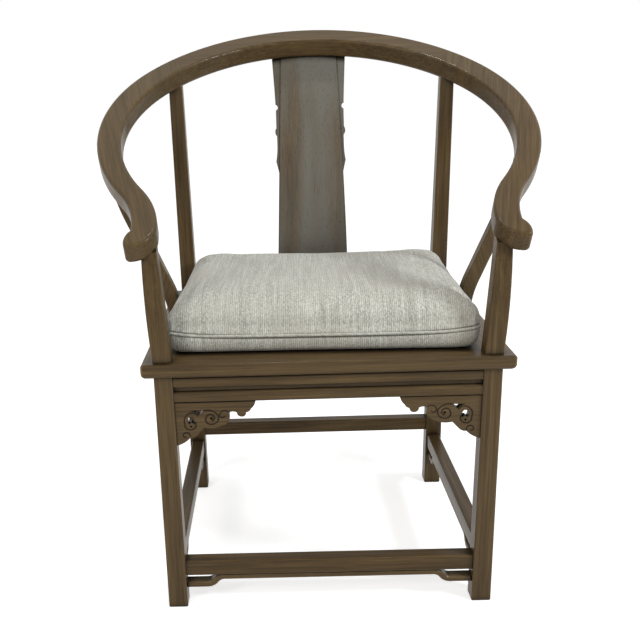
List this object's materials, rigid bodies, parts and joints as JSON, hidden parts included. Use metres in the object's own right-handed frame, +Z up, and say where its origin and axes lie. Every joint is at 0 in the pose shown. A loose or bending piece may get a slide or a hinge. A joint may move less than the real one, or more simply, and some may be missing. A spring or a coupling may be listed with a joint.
{
  "type": "horseshoe back armchair",
  "caption": "Wooden armchair with a horseshoe crest rail, bent back splat, sickle-shaped side posts, pierced cloud-scroll brackets, humpback stretchers and a loose box cushion.",
  "frame": {"origin": "middle of the footprint of the whole chair, on the floor", "axes": "+Z up, +X to the chair's right side as seen from the front, +Y towards the back"},
  "size_m": [0.7812, 0.62, 0.9826],
  "materials": {
    "frame_wood": "satin lacquer over a grey-brown walnut stain",
    "rail_wood": "satin lacquer over a grey-brown walnut stain",
    "splat_wood": "satin lacquer over a grey-brown walnut stain",
    "panel_wood": "thin satin lacquer",
    "cushion_cloth": "matt woven cloth with fine ribs from front to back"
  },
  "bodies": {
    "chair": {"front_leg_left": "frame_wood", "front_leg_right": "frame_wood", "rear_leg_left": "frame_wood", "rear_leg_right": "frame_wood", "crest_rail": "rail_wood", "arm_rail_left": "rail_wood", "arm_rail_right": "rail_wood", "rail_wedge_left": "frame_wood", "rail_wedge_right": "frame_wood", "back_splat": "splat_wood", "splat_flange_left": "splat_wood", "splat_flange_right": "splat_wood", "side_post_left": "frame_wood", "side_post_right": "frame_wood", "seat_frame_front": "frame_wood", "seat_frame_back": "frame_wood", "seat_frame_left": "frame_wood", "seat_frame_right": "frame_wood", "seat_panel": "panel_wood", "seat_batten_left": "panel_wood", "seat_batten_right": "panel_wood", "front_upper_rail": "frame_wood", "front_lower_rail": "frame_wood", "back_upper_rail": "frame_wood", "back_lower_rail": "frame_wood", "side_upper_rail_left": "frame_wood", "side_upper_rail_right": "frame_wood", "side_lower_rail_left": "frame_wood", "side_lower_rail_right": "frame_wood", "front_bracket_left": "frame_wood", "front_bracket_right": "frame_wood", "front_stretcher": "frame_wood", "front_humpback": "frame_wood", "rear_stretcher": "frame_wood", "side_stretcher_left": "frame_wood", "side_stretcher_right": "frame_wood", "side_humpback_left": "frame_wood", "side_humpback_right": "frame_wood"},
    "cushion": {"seat_cushion": "cushion_cloth"}
  },
  "joints": [
    {"name": "cushion_lift", "type": "slide", "parent": "chair", "child": "cushion", "axis": [0, 0, 1], "range_m": [0, 0.25]}
  ]
}
